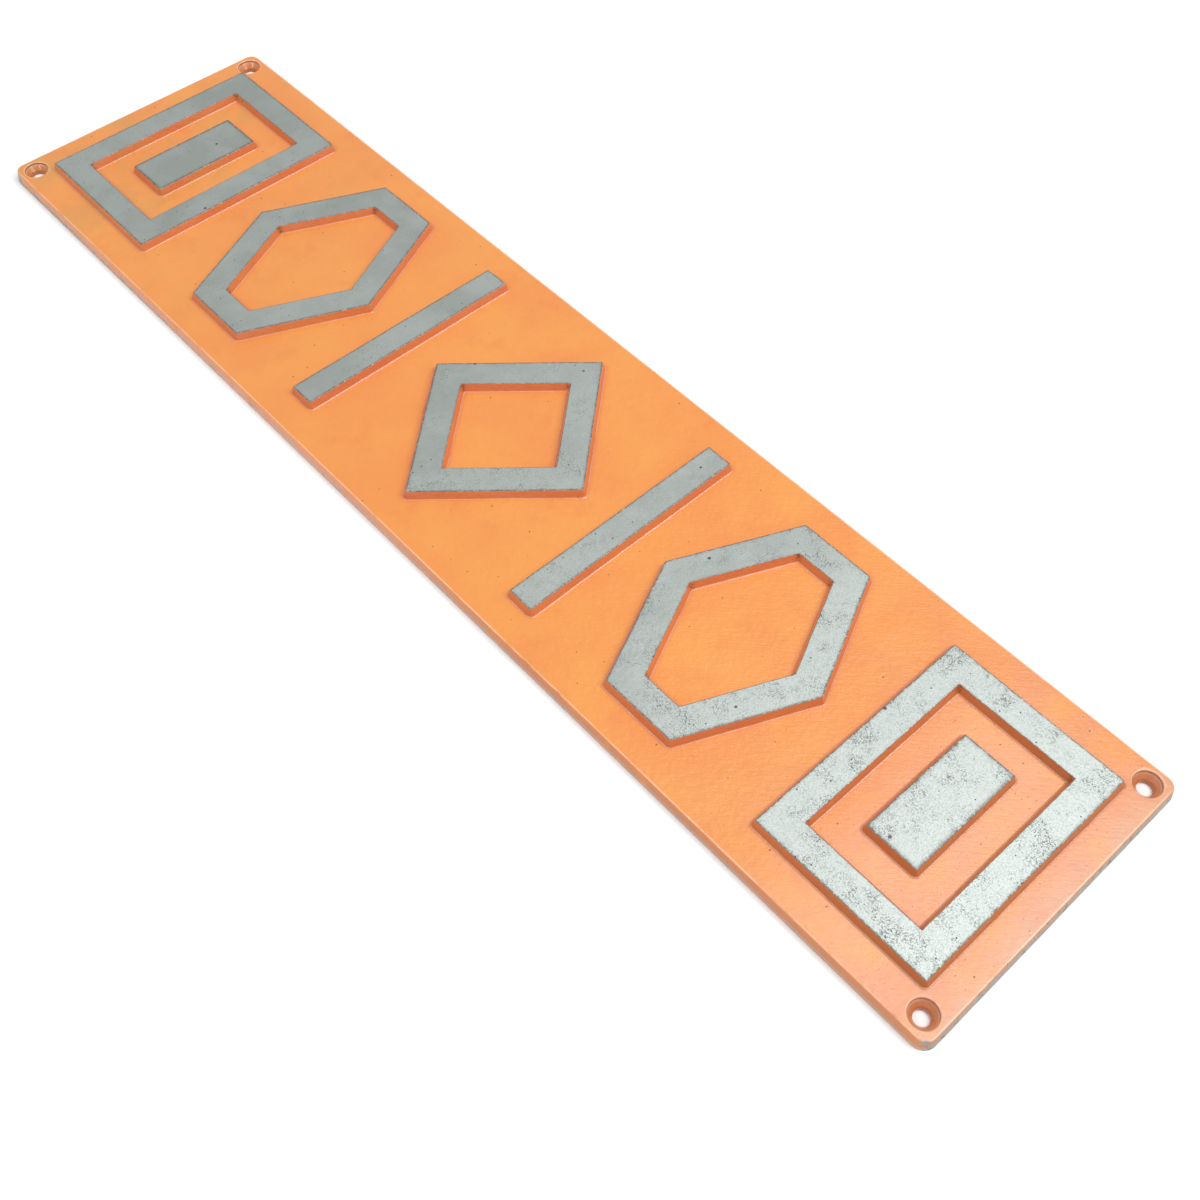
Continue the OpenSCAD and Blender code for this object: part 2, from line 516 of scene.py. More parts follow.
def build_side(mesh):
    """The side, from the back's broken arris up the rounded edge to the face."""
    rows = [(BACK_ARRIS, 0), (0.1 * BACK_ARRIS, 0.35 * BACK_ARRIS)]
    for t in SIDE_ROWS:
        rows.append((SHOULDER_INSET * t, SHOULDER_Z * t))
    for k in range(1, EDGE_STEPS + 1):
        a = math.pi / 2 * k / EDGE_STEPS
        rows.append((FACE_INSET - EDGE_R * math.cos(a), SHOULDER_Z + EDGE_R * math.sin(a)))
    rings = [mesh.ring(side_loop(inset), z) for inset, z in rows]
    for low, high in zip(rings, rings[1:]):
        mesh.strip(low, high)


def build_face_and_back(mesh, face_rim, back_rim):
    """Two grids, with a square patch left out round each hole."""
    to_back = {(round(f.x, ROUNDING), round(f.y, ROUNDING)): b
               for f, b in zip(face_rim, back_rim)}

    def grid_point(i, j, top):
        p = Vector((GRID_X[i], GRID_Y[j]))
        if not top:
            p = to_back.get((round(p.x, ROUNDING), round(p.y, ROUNDING)), p)
        return mesh.add(p.x, p.y, PLATE_TOP if top else 0)

    def beside_a_hole(k, lines):
        return not PATCH_STEPS <= k < len(lines) - 1 - PATCH_STEPS

    for i in range(len(GRID_X) - 1):
        for j in range(len(GRID_Y) - 1):
            if beside_a_hole(i, GRID_X) and beside_a_hole(j, GRID_Y):
                continue
            for top in (True, False):
                quad = [grid_point(i, j, top), grid_point(i + 1, j, top),
                        grid_point(i + 1, j + 1, top), grid_point(i, j + 1, top)]
                mesh.faces.append(tuple(quad if top else reversed(quad)))


def build_hole(mesh, face_rim, back_rim, sx, sy):
    """A hole and the square patch round it, in the corner that the signs name: rings from
    the patch's border on the face down the hole to its border on the back.
    """
    centre = Vector((sx * HOLE_X, sy * HOLE_Y))

    def border(loop):
        around_corner = loop[:3 * CORNER_STEPS + 1]
        inner_side = [Vector((PATCH_X, y)) for y in reversed(GRID_Y[-1 - PATCH_STEPS:])][1:]
        lower_side = [Vector((x, PATCH_Y)) for x in GRID_X[-1 - PATCH_STEPS:]][1:-1]
        ring = [Vector((sx * p.x, sy * p.y)) for p in around_corner + inner_side + lower_side]
        return ring if sx * sy > 0 else ring[::-1]

    top_border, back_border = border(face_rim), border(back_rim)
    spokes = [(p - centre).normalized() for p in top_border]

    def circle(radius, z):
        return mesh.ring([centre + spoke * radius for spoke in spokes], z)

    def between(edge, radius, part, z):
        return mesh.ring([p.lerp(centre + spoke * radius, part)
                          for p, spoke in zip(edge, spokes)], z)

    well_top = PLATE_TOP - WALL_TOP
    rings = [mesh.ring(top_border, PLATE_TOP)]
    rings += [between(top_border, MOUTH_R, t, PLATE_TOP) for t in PATCH_ROWS]
    rings += [circle(radius, PLATE_TOP - depth) for radius, depth in MOUTH_RINGS]
    rings += [circle(HEAD_R, well_top + (SEAT_HIGH - well_top) * t) for t in WELL_ROWS]
    rings += [circle(HEAD_R + (HOLE_R - HEAD_R) * t, SEAT_HIGH + (SEAT_LOW - SEAT_HIGH) * t)
              for t in CONE_ROWS]
    rings += [circle(HOLE_R, SEAT_LOW - SHANK_ARRIS), circle(HOLE_R, SHANK_ARRIS)]
    rings += [circle(HOLE_R + SHANK_BELL, 0), between(back_border, HOLE_R, 0.5, 0)]
    rings += [mesh.ring(back_border, 0)]
    for a, b in zip(rings, rings[1:]):
        mesh.strip(a, b)


# ---------------------------------------------------------------- the plate's wear

CORNER_MID = CORNER_R * (1 - math.sqrt(0.5))
NEAR_SIDE = HALF_L - SHOULDER_INSET
FRONT_SIDE = -HALF_W + SHOULDER_INSET
CHIPS = [   # place, reach and depth of what was knocked off the plate's edges, to bare metal
    (Vector((HALF_L - CORNER_MID, -HALF_W + CORNER_MID, 0.85 * PLATE_TOP)), 2.4 * MM, 0.5 * MM),
    (Vector((HALF_L - CORNER_MID, HALF_W - CORNER_MID, 0.3 * PLATE_TOP)), 2.2 * MM, 0.3 * MM),
    (Vector((-HALF_L + 0.7 * CORNER_R, -HALF_W, 0.5 * PLATE_TOP)), 5.0 * MM, 0.3 * MM),
    (Vector((NEAR_SIDE, -0.62 * HALF_W, 0.75 * PLATE_TOP)), 1.6 * MM, 0.35 * MM),
    (Vector((NEAR_SIDE, -0.5 * HALF_W, 0.5 * PLATE_TOP)), 2.0 * MM, 0.3 * MM),
    (Vector((NEAR_SIDE, 0.18 * HALF_W, 0.6 * PLATE_TOP)), 1.8 * MM, 0.3 * MM),
]
DENTS = [   # the same for knocks that the paint took without breaking
    (Vector((0.32 * HALF_L, FRONT_SIDE, PLATE_TOP)), 2.2 * MM, 0.4 * MM),
    (Vector((0.38 * HALF_L, FRONT_SIDE + 1.2 * MM, PLATE_TOP)), 2.6 * MM, 0.45 * MM),
]
CHIP_FULL = 0.35               # how far out a chip is at its full depth, as part of its reach
CHIP_ROUGH, CHIP_ROUGH_SIZE = 0.35, 1.3 * MM    # how ragged a chip's border is
CHIP_DROP = 0.5                # what a chip takes off the face, as part of its depth
BOTH_SIDES = 1 * MM            # this close to a corner's diagonal, a point is on both sides
SIDE_ROUGH, SIDE_ROUGH_SIZE = 0.12 * MM, 7 * MM
SIDE_FADE = 2 * MM             # how far onto the face the unevenness of the side reaches
FACE_FADE = 0.2 * MM           # how far down the side the unevenness of the face reaches

# Where the masks start and end: the painted highlight round a mouth, inside and outside it;
# the painted shade in a hole, past the head's radius; its less shaded cone, from either border;
# the painted highlight on the step over the seat, above and below it; and the painted highlight
# line on the plate's rounded edge, below the face
LIP_INSIDE, LIP_OUTSIDE = 0.15 * MM, 0.2 * MM
BORE_FULL, BORE_END = 0.02 * MM, 0.3 * MM
CONE_LOWER, CONE_UPPER = 0.4 * MM, 0.5 * MM
STEP_FULL, STEP_END = 0.22 * MM, 0.3 * MM
LINE_START, LINE_FULL, LINE_END = 0.3 * EDGE_R, 0.1 * EDGE_R, 0.02 * EDGE_R
STEP_HIGHLIGHT, CONE_LESS_SHADE = 0.7, 0.5               # how strong the step's painted highlight, how much less painted shade the cone gets


def chip_depth(p):
    deepest = 0.0
    for place, reach, depth in CHIPS + DENTS:
        rough = 1 + CHIP_ROUGH * wave(p.x, p.y, p.z, CHIP_ROUGH_SIZE)
        near = 1 - smooth(CHIP_FULL * reach, reach * rough, (p - place).length)
        deepest = max(deepest, depth * near)
    return deepest


def near_side(p):
    """1 on the side and its rounded edge, fading out on the face and the back."""
    inset = min(HALF_L - abs(p.x), HALF_W - abs(p.y))
    return 1 - smooth(SHOULDER_INSET, FACE_INSET + SIDE_FADE, inset)


def painted_light_masks(p):
    """How much a point carries a painted highlight line (on the rounded edge, round a hole's
    mouth, on the step over its seat), and how much painted shade it gets down in a hole.
    """
    to_hole = (Vector((abs(p.x), abs(p.y))) - FIRST_HOLE).length
    in_hole = 1 - smooth(HEAD_R + BORE_FULL, HEAD_R + BORE_END, to_hole)
    mouth = smooth(HEAD_R, HEAD_R + LIP_INSIDE, to_hole) * (
        1 - smooth(MOUTH_R, MOUTH_R + LIP_OUTSIDE, to_hole))
    turned = smooth(PLATE_TOP - LINE_START, PLATE_TOP - LINE_FULL, p.z) * (
        1 - smooth(PLATE_TOP - LINE_END, PLATE_TOP, p.z))
    step = in_hole * (1 - smooth(STEP_FULL, STEP_END, abs(p.z - SEAT_HIGH)))
    on_cone = smooth(HOLE_R, HOLE_R + CONE_LOWER, to_hole) * (
        1 - smooth(HEAD_R - CONE_UPPER, HEAD_R, to_hole))
    # painted highlight: pale lines on the rounded edge, round a mouth and on the seat's step
    edge = max(mouth, turned * near_side(p), STEP_HIGHLIGHT * step) if p.z > SEAT_LOW else 0.0
    # the second mask is painted shade down in a hole, with less of it on the seat's cone
    return edge, in_hole * (1 - CONE_LESS_SHADE * on_cone)


def worn_place(p):
    """Where a point of the plate ends up after casting and use: a rough side, an uneven face,
    and the chips and dents. It never leaves the CAD's box.
    """
    from_end, from_flank = HALF_L - abs(p.x), HALF_W - abs(p.y)
    on_end = from_end < from_flank + BOTH_SIDES
    on_flank = from_flank < from_end + BOTH_SIDES
    inward = Vector((-math.copysign(1, p.x) if on_end else 0,
                     -math.copysign(1, p.y) if on_flank else 0, 0))
    chip = chip_depth(p)
    on_face = smooth(PLATE_TOP - FACE_FADE, PLATE_TOP, p.z)
    rough = 0.5 + 0.5 * wave(p.x, p.y, p.z, SIDE_ROUGH_SIZE)
    worn = p + inward.normalized() * near_side(p) * (SIDE_ROUGH * rough + chip)
    worn.z -= on_face * (plate_face_dip(worn.x, worn.y) + CHIP_DROP * chip)
    worn.z = max(worn.z, 0)
    return worn


def build_plate(paint):
    mesh = PatchedMesh()
    face_rim, back_rim = side_loop(FACE_INSET), side_loop(BACK_ARRIS)
    build_side(mesh)
    build_face_and_back(mesh, face_rim, back_rim)
    for sx in (1, -1):
        for sy in (1, -1):
            build_hole(mesh, face_rim, back_rim, sx, sy)

    # the first mask holds the painted highlight lines, the second the painted shade in the holes
    edge, hole_shade = zip(*[painted_light_masks(p) for p in mesh.points])
    piece = new_piece("plate_casting", [worn_place(p) for p in mesh.points], mesh.faces,
                      {"edge": edge, "hole_shade": hole_shade}, (paint,))
    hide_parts("base_plate")
    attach(piece, BODY)
    return piece


# ---------------------------------------------------------------- node trees

class Nodes:
    """A short way to write node trees: each call makes a node and returns its output."""

    def __init__(self, name):
        self.material = bpy.data.materials.new(name)
        self.material.use_nodes = True
        self.tree = self.material.node_tree
        self.shader = self.tree.nodes["Principled BSDF"]

    def put(self, value, socket):
        if isinstance(value, bpy.types.NodeSocket):
            self.tree.links.new(value, socket)
        elif hasattr(value, "__len__") and len(value) == 3 and socket.type == "RGBA":
            socket.default_value = (*value, 1)
        else:
            socket.default_value = value

    def add(self, kind, output=0, settings=None, **inputs):
        node = self.tree.nodes.new(kind)
        for key, value in (settings or {}).items():
            setattr(node, key, value)
        for key, value in inputs.items():
            self.put(value, node.inputs[key.replace("_", " ")])
        return node.outputs[output]

    def axis(self, name):
        """The piece's own X, Y or Z, in metres."""
        at = self.add("ShaderNodeTexCoord", "Object")
        return self.add("ShaderNodeSeparateXYZ", name, Vector=at)

    def millimetres(self, stretch=(1, 1, 1), turn=0.0):
        """The piece's own coordinates in millimetres. A pattern on them is turned about Z and
        stretched along its own axes.
        """
        at = self.add("ShaderNodeTexCoord", "Object")
        return self.add("ShaderNodeMapping", settings={"vector_type": "TEXTURE"}, Vector=at,
                        Rotation=(0, 0, turn), Scale=tuple(s * MM for s in stretch))

    def grain(self, size, detail=3.0, roughness=0.55, at=None, distortion=0.0):
        """Noise from 0 to 1 whose bumps are about size millimetres across."""
        return self.add("ShaderNodeTexNoise", "Fac", Vector=at or self.millimetres(),
                        Scale=1 / size, Detail=detail, Roughness=roughness,
                        Distortion=distortion)

    def dots(self, size, spacing, share):
        """Scattered round dots of uneven size: 1 inside a dot. size and spacing are in
        millimetres, and share is the part of the cells that have one.
        """
        node = self.tree.nodes.new("ShaderNodeTexVoronoi")
        node.voronoi_dimensions = "2D"
        self.put(self.millimetres(), node.inputs["Vector"])
        node.inputs["Scale"].default_value = 1 / spacing
        pick = self.add("ShaderNodeSeparateColor", "Red", Color=node.outputs["Color"])
        luck = self.add("ShaderNodeSeparateColor", "Green", Color=node.outputs["Color"])
        chosen = self.ramp(pick, 1 - share, 1 - share + 0.01)
        away = self.math("DIVIDE", node.outputs["Distance"], self.math("ADD", luck, 0.3))
        radius = size / spacing / 2
        return self.times(chosen, self.ramp(away, radius, 0.45 * radius))

    def ramp(self, value, low, high):
        """0 at low and 1 at high, smoothly; low may be above high."""
        return self.add("ShaderNodeMapRange", settings={"interpolation_type": "SMOOTHSTEP"},
                        Value=value, From_Min=low, From_Max=high)

    def math(self, operation, a, b=0.5):
        """Kept between 0 and 1."""
        node = self.tree.nodes.new("ShaderNodeMath")
        node.operation = operation
        node.use_clamp = True
        self.put(a, node.inputs[0])
        self.put(b, node.inputs[1])
        return node.outputs[0]

    def times(self, a, b):
        return self.math("MULTIPLY", a, b)

    def most(self, a, b):
        return self.math("MAXIMUM", a, b)

    def mix(self, amount, a, b, kind="RGBA"):
        node = self.tree.nodes.new("ShaderNodeMix")
        node.data_type = kind
        self.put(amount, node.inputs["Factor"])
        self.put(a, node.inputs["A"])
        self.put(b, node.inputs["B"])
        return node.outputs["Result"]

    def mix_value(self, amount, a, b):
        return self.mix(amount, a, b, kind="FLOAT")

    def over(self, colour, top, mask, strength):
        """A colour with another laid over it where the mask is, at most at the strength."""
        return self.mix(self.times(mask, strength), colour, top)

    def close_to(self, place, reach, ragged):
        """1 within reach of a place, less far up and down, with a ragged border."""
        flatter = (1, 1, 0.5)
        node = self.tree.nodes.new("ShaderNodeVectorMath")
        node.operation = "DISTANCE"
        self.put(self.millimetres(flatter), node.inputs[0])
        self.put([c / s / MM for c, s in zip(place, flatter)], node.inputs[1])
        away = self.add("ShaderNodeMapRange", Value=node.outputs["Value"],
                        From_Min=0.0, From_Max=2 * reach / MM)
        torn = self.math("ADD", away, self.times(ragged, 0.9))
        return self.ramp(torn, 0.98, 0.90)

    def mask(self, name):
        """A mesh attribute from 0 to 1."""
        return self.add("ShaderNodeAttribute", "Fac", settings={"attribute_name": name})

    def bump(self, layers):
        """Stacks (height, depth in millimetres) into one normal."""
        normal = None
        for height, depth in layers:
            node = self.tree.nodes.new("ShaderNodeBump")
            self.put(height, node.inputs["Height"])
            node.inputs["Distance"].default_value = depth * MM
            if normal:
                self.put(normal, node.inputs["Normal"])
            normal = node.outputs["Normal"]
        self.put(normal, self.shader.inputs["Normal"])

    def set(self, **inputs):
        for key, value in inputs.items():
            self.put(value, self.shader.inputs[key.replace("_", " ")])


# ---------------------------------------------------------------- enamel

ORANGE = (0.80, 0.27, 0.055)
ORANGE_WARM = (0.82, 0.31, 0.06)
ORANGE_DEEP = (0.74, 0.20, 0.04)
PINKISH = (0.64, 0.235, 0.11)
# pale haze: partly faded paint, partly a painted sheen
HAZE_AND_SHEEN = (0.58, 0.315, 0.205)
STAIN = (0.56, 0.30, 0.07)
# the walls' enamel is darker and redder: partly painted shade on the upright walls, partly a
# deeper red
WALL_ORANGE_SHADED = (0.70, 0.185, 0.06)
WALL_WARM_SHADED = (0.73, 0.21, 0.065)
WALL_DEEP_SHADED = (0.62, 0.13, 0.045)
WALL_BROWN = (0.50, 0.165, 0.055)
# painted highlight: pale lines on edges, mouths, seat steps and fillets
EDGE_HIGHLIGHT = (0.93, 0.62, 0.45)
# painted shade down in the screw holes
HOLE_SHADE_BROWN = (0.36, 0.085, 0.03)
# near-black: dirt for the specks, and painted shade in the openings' corners
GRIME_AND_SHADE = (0.035, 0.02, 0.015)
SIDE_NEAR = (0.65, 0.25, 0.115)
SIDE_FAR = (0.76, 0.34, 0.20)
SIDE_END = (0.48, 0.30, 0.20)
CHALKY = (0.66, 0.50, 0.42)
RUSTY = (0.56, 0.23, 0.16)
SOOTY = (0.13, 0.10, 0.085)
# dark metal for the sandy back, and painted shade along the ends' foot
SHADE_AND_SAND_DARK = (0.10, 0.105, 0.105)
RUBBED_DARK = (0.24, 0.25, 0.235)
RUBBED = (0.55, 0.56, 0.53)
CAST_DARK = (0.27, 0.275, 0.265)
CAST_PALE = (0.46, 0.465, 0.45)

FAR_START = -50 * MM           # the stains get denser from here to the -X end
NEAR_START = 0.45 * HALF_L     # the paint fades from here to the +X end
BRINK = (14 * MM, 2 * MM)      # distance from the +X end over which the haze, partly a painted sheen, sets in
SIDE_DEPTH = (3 * MM, 2.2 * MM)        # distance from the outline over which the side starts
SIDE_DROP = (0.1 * MM, 0.7 * MM)       # and depth below the face
BACK_HEIGHT = (0.12 * MM, 0.05 * MM)   # height under which the back starts
STRAY = (1 * MM, 12 * MM)      # how far in from its outline paint strayed onto the back
FOOT_SHADE_HEIGHT = (1.3 * MM, 0.3 * MM)       # height under which the ends' foot gets painted shade
CHALK_HEIGHT = (2.4 * MM, 0.8 * MM)    # height under which the long sides' foot is chalky
GLOSSY, WORN_GLOSS, MATT = 0.24, 0.40, 0.62
COAT, COAT_ROUGHNESS = 0.6, 0.13
BARE_METALLIC = 0.6


class Places:
    """Masks of where a point is on the plate."""

    def __init__(self, n):
        self.x, self.z = n.axis("X"), n.axis("Z")
        self.far = n.ramp(self.x, FAR_START, -HALF_L)
        self.near = n.ramp(self.x, NEAR_START, HALF_L)

        # How far out, as a part of the way to the end and to the long side
        self.out_x = n.math("DIVIDE", n.math("ABSOLUTE", self.x), HALF_L)
        self.out_y = n.math("DIVIDE", n.math("ABSOLUTE", n.axis("Y")), HALF_W)
        self.at_end = self.within(n, self.out_x, HALF_L, SIDE_DEPTH)
        self.at_flank = self.within(n, self.out_y, HALF_W, SIDE_DEPTH)
        below = n.ramp(self.z, PLATE_TOP - SIDE_DROP[0], PLATE_TOP - SIDE_DROP[1])
        self.side = n.times(n.most(self.at_end, self.at_flank), below)
        self.end_side = n.times(self.side, self.at_end)
        self.back = n.ramp(self.z, *BACK_HEIGHT)

    @staticmethod
    def within(n, out, half, depths):
        """A ramp between two distances from the outline."""
        return n.ramp(out, 1 - depths[0] / half, 1 - depths[1] / half)


def aged(n, at, colour, on_walls):
    """Stains gather towards the -X end, and the +X end has faded: the ground to pink with a
    haze along its brink that is partly a painted sheen, and the figures' walls to brown.
    """
    stain = n.times(n.ramp(n.grain(26, 5, 0.65, distortion=0.6), 0.45, 0.72), at.far)
    colour = n.over(colour, STAIN, stain, 0.5)
    if on_walls:
        return n.over(colour, WALL_BROWN, at.near, 0.9)
    faded = n.times(at.near, n.ramp(n.grain(20, 4, 0.6), 0.25, 0.7))
    colour = n.over(colour, PINKISH, faded, 0.8)
    # haze along the +X brink, partly a painted sheen
    brink = n.ramp(at.x, HALF_L - BRINK[0], HALF_L - BRINK[1])
    haze_and_sheen_mask = n.times(brink, n.ramp(n.grain(16, 4, 0.6), 0.2, 0.6))
    return n.over(colour, HAZE_AND_SHEEN, haze_and_sheen_mask, 0.65)


def specks_of_dirt(n, at):
    """Pinholes and specks in clusters, more of them towards the +X end."""
    on_top = n.ramp(at.z, PLATE_TOP - 1 * MM, PLATE_TOP - 0.5 * MM)
    cluster = n.ramp(n.grain(22, 3, 0.6), 0.40, 0.62)
    specks = n.times(n.dots(0.9, 10, 0.24), n.math("ADD", cluster, 0.25))
    pricks = n.times(n.dots(0.6, 3.6, 0.5), n.times(at.near, cluster))
    return n.times(n.most(specks, pricks), on_top)


def worn_side(n, at, colour, chips):
    """The side is dusty, and rubbed to the metal along its foot, most at the two ends. The
    ends are mottled, with painted shade along their foot, and the foot of the long sides is
    chalky in their near part.
    Returns the colour and the mask of bare metal, with the chips.
    """
    dust = n.mix(n.ramp(at.x, 0.35 * HALF_L, -0.1 * HALF_L), SIDE_NEAR, SIDE_FAR)
    dust = n.mix(at.at_end, dust, SIDE_END)
    colour = n.mix(n.times(at.side, n.ramp(n.grain(9, 4), 0.18, 0.50)), colour, dust)
    rusty = n.times(at.end_side, n.ramp(n.grain(8, 4, 0.65), 0.54, 0.64))
    colour = n.mix(rusty, colour, RUSTY)

    scuff = n.grain(3.2, 5, 0.7, at=n.millimetres((1, 1, 0.5)))
    height = n.math("DIVIDE", at.z, PLATE_TOP)
    exposed = n.most(n.times(at.at_end, 0.17), n.times(at.far, 0.10))
    worn = n.math("SUBTRACT", n.math("ADD", scuff, exposed), n.times(height, 0.42))
    bare = n.times(n.ramp(worn, 0.44, 0.54), at.side)
    for place, reach, _ in chips:
        bare = n.most(bare, n.close_to(place, reach, scuff))
    metal = n.mix(n.grain(1.3, 4, 0.7, at=n.millimetres((3, 3, 0.6))), RUBBED_DARK, RUBBED)
    colour = n.mix(bare, colour, metal)

    # painted shade along the foot of both ends
    foot_shade = n.times(n.times(at.at_end, n.ramp(at.z, *FOOT_SHADE_HEIGHT)),
                         n.ramp(n.grain(14, 4, 0.7), 0.35, 0.6))
    colour = n.over(colour, SHADE_AND_SAND_DARK, foot_shade, 0.6)
    dark_spots = n.times(at.end_side, n.ramp(n.grain(4.5, 5, 0.7), 0.57, 0.63))
    colour = n.over(colour, SOOTY, dark_spots, 0.7)
    chalky_foot = n.times(n.math("SUBTRACT", at.at_flank, at.far), n.ramp(at.z, *CHALK_HEIGHT))
    return n.over(colour, CHALKY, chalky_foot, 0.5), bare


def bare_back(n, at, colour, sand):
    """The back was never meant to be seen: sandy bare casting, with paint strayed in from
    the sides. Returns the colour and the mask of what isn't painted.
    """
    inside = n.math("MINIMUM", Places.within(n, at.out_x, HALF_L, STRAY),
                    Places.within(n, at.out_y, HALF_W, STRAY))
    strayed = n.ramp(n.math("ADD", n.grain(13, 5, 0.7), n.times(inside, 0.35)), 0.62, 0.70)
    unpainted = n.times(at.back, strayed)
    cast = n.mix(n.grain(24, 5, 0.65), CAST_DARK, CAST_PALE)
    cast = n.over(cast, SHADE_AND_SAND_DARK, n.ramp(sand, 0.55, 0.7), 0.5)
    return n.mix(unpainted, colour, cast), unpainted


def enamel(name, colours, chips=(), on_walls=False):
    """Old orange enamel: clouded colour, pinholes, fine brush marks, worn sides, a bare back,
    painted shade down in the holes, and painted highlight lines on edges and fillets. colours
    are the main one, a warmer one and a deeper one. on_walls is for the figures' walls, with
    painted shade in the openings' corners.
    """
    n = Nodes(name)
    at = Places(n)
    main, warm, deep = colours
    patch = n.grain(17, 4, 0.6)
    colour = n.mix(n.ramp(n.grain(48, 4, 0.6), 0.35, 0.65), main, warm)
    colour = n.over(colour, deep, n.ramp(patch, 0.52, 0.75), 0.35)
    colour = aged(n, at, colour, on_walls)
    dirt = specks_of_dirt(n, at)
    colour = n.over(colour, GRIME_AND_SHADE, dirt, 0.75)
    colour, bare = worn_side(n, at, colour, chips)
    sand = n.grain(0.8, 3, 0.7)
    colour, unpainted = bare_back(n, at, colour, sand)
    # painted shade down in the screw holes
    colour = n.over(colour, HOLE_SHADE_BROWN, n.mask("hole_shade"), 0.7)
    # painted highlight lines where the edge mask is
    highlight_line = n.times(n.mask("edge"), n.ramp(n.grain(12, 4, 0.7), 0.25, 0.55))
    colour = n.over(colour, EDGE_HIGHLIGHT, highlight_line, 0.6)
    if on_walls:
        # painted shade in the openings' inner corners, broken up by noise
        corner_shade_mask = n.times(n.mask("corner_shade"), n.ramp(n.grain(0.9, 4, 0.7), 0.42, 0.56))
        colour = n.over(colour, GRIME_AND_SHADE, corner_shade_mask, 0.75)

    no_paint = n.most(bare, unpainted)
    matt = n.most(at.side, no_paint)
    gloss = n.mix_value(patch, GLOSSY, WORN_GLOSS)
    n.set(Base_Color=colour, Roughness=n.mix_value(matt, gloss, MATT),
          Metallic=n.times(no_paint, BARE_METALLIC),
          Coat_Weight=n.mix_value(matt, COAT, 0.0), Coat_Roughness=COAT_ROUGHNESS)

    swell = n.grain(14, 2, 0.5)
    peel = n.grain(2.2, 3, 0.5)
    strokes = n.grain(1.0, 3, 0.6, at=n.millimetres((7, 1, 1), math.radians(45)))
    pinholes = n.math("SUBTRACT", 1.0, dirt)
    n.bump([(swell, 0.35), (peel, 0.27), (strokes, 0.20), (pinholes, 0.15),
            (n.times(sand, at.back), 0.25)])
    return n.material


# ---------------------------------------------------------------- ground metal

METAL = (0.42, 0.46, 0.435)
METAL_PALE = (0.49, 0.53, 0.505)
METAL_SHEEN = (0.52, 0.565, 0.54)
OXIDE = (0.165, 0.175, 0.17)
PIT = (0.05, 0.05, 0.05)
RIM = (0.07, 0.055, 0.05)
SHEEN_FROM, SHEEN_TO = 0.38 * HALF_L, 0.58 * HALF_L     # where the metal turns paler: a painted sheen
DENSE_FROM, DENSE_TO = -0.5 * HALF_L, 0.6 * HALF_L      # where its patches turn darker


def ground_metal():
    """Aluminium ground flat, with a painted sheen that makes it paler at the +X end: dark grain
    that gathers in patches, smudges, pits and a dark rim.
    """
    n = Nodes("ground_metal")
    x = n.axis("X")
    colour = n.mix(n.ramp(n.grain(30, 3, 0.6), 0.35, 0.65), METAL, METAL_PALE)
    # painted sheen: the metal turns paler towards the +X end
    colour = n.mix(n.ramp(x, SHEEN_FROM, SHEEN_TO), colour, METAL_SHEEN)

    fine = n.grain(0.55, 2, 0.8)
    coarse = n.grain(0.95, 2, 0.7)
    dense = n.mix_value(n.ramp(x, DENSE_FROM, DENSE_TO), 0.45, 1.0)
    gather = n.times(n.ramp(n.grain(16, 5, 0.75), 0.46, 0.70), dense)
    pepper = n.times(n.ramp(fine, 0.52, 0.58), n.math("ADD", gather, 0.22))
    blots = n.times(n.ramp(coarse, 0.59, 0.64), n.math("ADD", gather, 0.10))
    smudge = n.times(n.ramp(n.grain(8, 5, 0.75), 0.62, 0.72), n.ramp(fine, 0.2, 0.55))
    dull = n.most(pepper, n.most(blots, n.times(smudge, 0.6)))
    colour = n.mix(dull, colour, OXIDE)
    pits = n.most(n.dots(2.0, 19, 0.14), n.dots(0.8, 6, 0.2))
    colour = n.over(colour, PIT, pits, 0.8)
    rim = n.times(n.mask("rim"), n.ramp(n.grain(1.4, 4, 0.75), 0.3, 0.55))
    colour = n.over(colour, RIM, rim, 0.85)

    n.set(Base_Color=colour, Metallic=n.mix_value(dull, 0.9, 0.15),
          Roughness=n.mix_value(dull, 0.52, 0.75))
    n.bump([(n.math("SUBTRACT", 1.0, pits), 0.2), (coarse, 0.06), (fine, 0.03),
            (n.grain(6, 2), 0.12)])
    return n.material


# ---------------------------------------------------------------- the object

plate_paint = enamel("orange_enamel", (ORANGE, ORANGE_WARM, ORANGE_DEEP), chips=CHIPS)
# the walls' enamel: a darker copy, partly painted shade on the upright walls
figure_paint_shaded = enamel("orange_enamel_walls_shaded", (WALL_ORANGE_SHADED, WALL_WARM_SHADED, WALL_DEEP_SHADED), on_walls=True)
bare_metal = ground_metal()
build_plate(plate_paint)
for node in FIGURES:
    build_figure(node, figure_paint_shaded, bare_metal)


# ---------------------------------------------------------------- studio

FLOOR_SIZE, FLOOR_CELLS = 8.0, 24
FLOOR_GAP = 0.02 * MM          # the floor lies just under the plate's back
WHITE, WHITER = (0.95, 0.95, 0.95), (0.97, 0.97, 0.97)
LIGHTS = [   # name, place, aim, size and watts
    ("overhead_softbox", (0.53, 0.85, 2.2), (0.53, 0.85, 0.0), (1.55, 1.3), 24.5),
    ("front_strip", (-0.30, -0.95, 1.15), (0, 0, 0), (0.9, 0.14), 4),
    ("side_panel", (0.90, 0.60, 1.10), (0, 0, 0), (0.42, 0.42), 4.5),
]
SKY_STRENGTH = 0.61


def studio_white():
    n = Nodes("studio_white")
    n.set(Base_Color=n.mix(n.grain(400, 2), WHITE, WHITER), Roughness=0.9,
          Specular_IOR_Level=0.0)
    return n.material


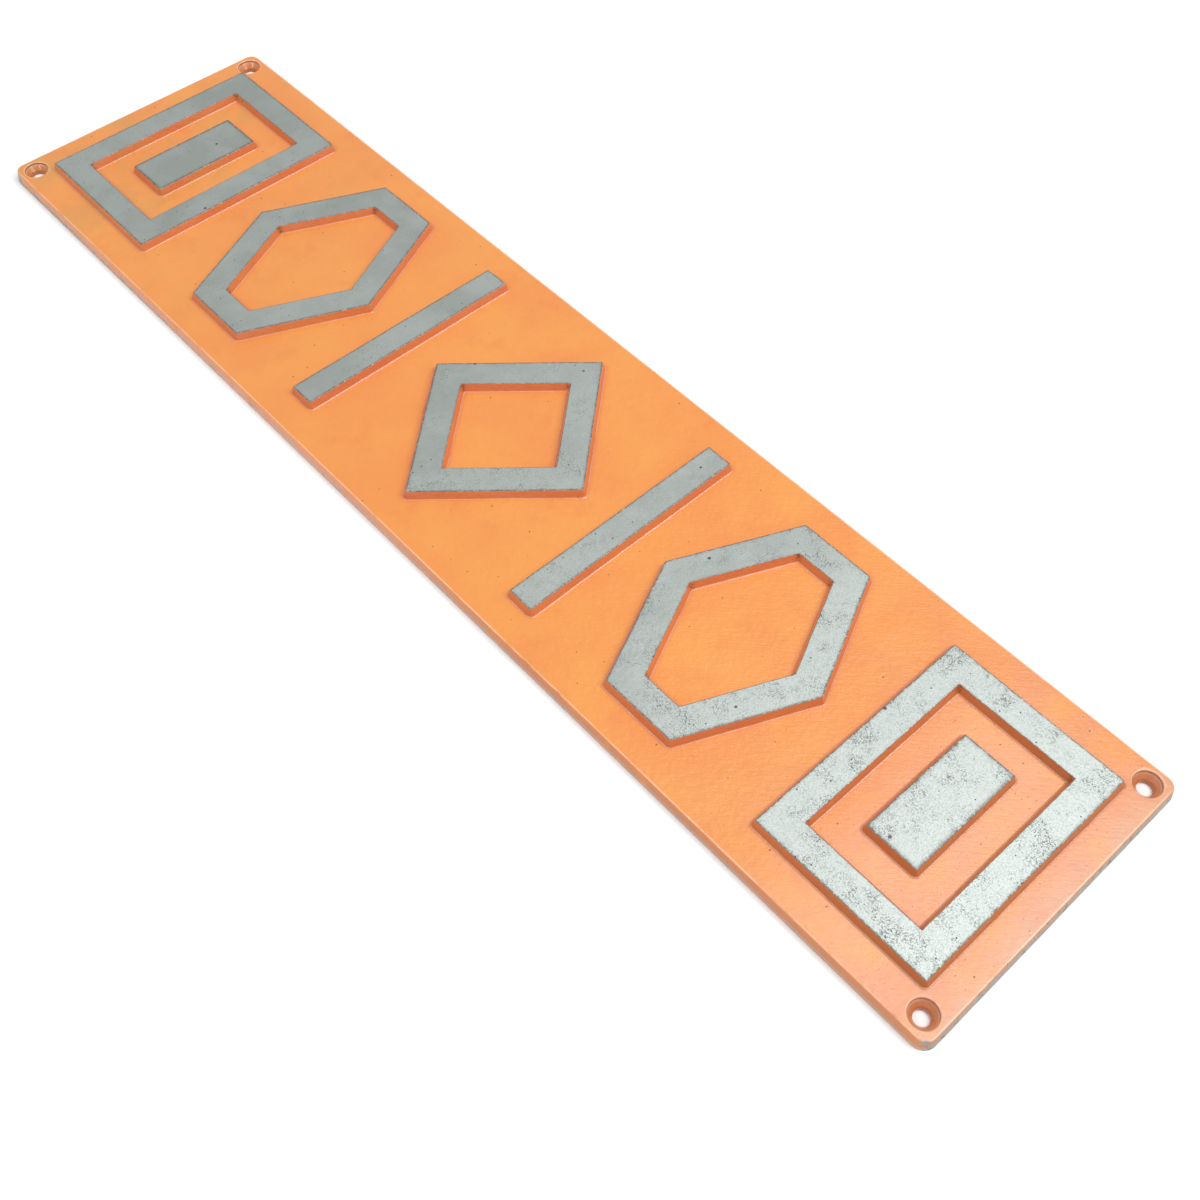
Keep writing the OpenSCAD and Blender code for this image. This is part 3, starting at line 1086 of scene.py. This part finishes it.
def build_floor():
    row = FLOOR_CELLS + 1
    points = [(FLOOR_SIZE * (i / FLOOR_CELLS - 0.5), FLOOR_SIZE * (j / FLOOR_CELLS - 0.5),
               -FLOOR_GAP) for j in range(row) for i in range(row)]
    faces = [(j * row + i, j * row + i + 1, (j + 1) * row + i + 1, (j + 1) * row + i)
             for j in range(FLOOR_CELLS) for i in range(FLOOR_CELLS)]
    mesh = bpy.data.meshes.new("floor")
    mesh.from_pydata(points, [], faces)
    floor = bpy.data.objects.new("floor", mesh)
    bpy.context.scene.collection.objects.link(floor)
    mesh.materials.append(studio_white())


def area_light(name, place, aim, size, power):
    data = bpy.data.lights.new(name, "AREA")
    data.shape = "RECTANGLE"
    data.size, data.size_y = size
    data.energy = power
    lamp = bpy.data.objects.new(name, data)
    lamp.location = place
    lamp.rotation_euler = (Vector(aim) - Vector(place)).to_track_quat("-Z", "Y").to_euler()
    bpy.context.scene.collection.objects.link(lamp)


build_floor()
for light in LIGHTS:
    area_light(*light)

scene = bpy.context.scene
scene.view_settings.view_transform = "Standard"
world = bpy.data.worlds.new("studio")
world.use_nodes = True
world.node_tree.nodes["Background"].inputs["Color"].default_value = (1.0, 1.0, 1.0, 1)
world.node_tree.nodes["Background"].inputs["Strength"].default_value = SKY_STRENGTH
scene.world = world

# The camera looks down the plate from its near right corner. Its place and its aim are in
# plate widths from the middle of the plate's face, so they follow the CAD.
WIDTH = 2 * HALF_W
CAMERA_AT = Vector((2.231, -1.731, 3.194)) * WIDTH + Vector((0, 0, PLATE_TOP))
CAMERA_AIM = Vector((0.636, -0.211, 0.0)) * WIDTH + Vector((0, 0, PLATE_TOP))
CAMERA_ROLL = math.radians(1.36)
LENS_MM, SENSOR_MM = 42.6, 36
CLIP_START = 10 * MM
camera = bpy.data.objects.new("camera", bpy.data.cameras.new("camera"))
camera.data.lens = LENS_MM
camera.data.sensor_width = SENSOR_MM
camera.data.clip_start = CLIP_START
camera.location = CAMERA_AT
looking = (CAMERA_AIM - CAMERA_AT).to_track_quat("-Z", "Y").to_matrix().to_4x4()
camera.rotation_euler = (looking @ Matrix.Rotation(CAMERA_ROLL, 4, "Z")).to_euler()
scene.collection.objects.link(camera)
scene.camera = camera
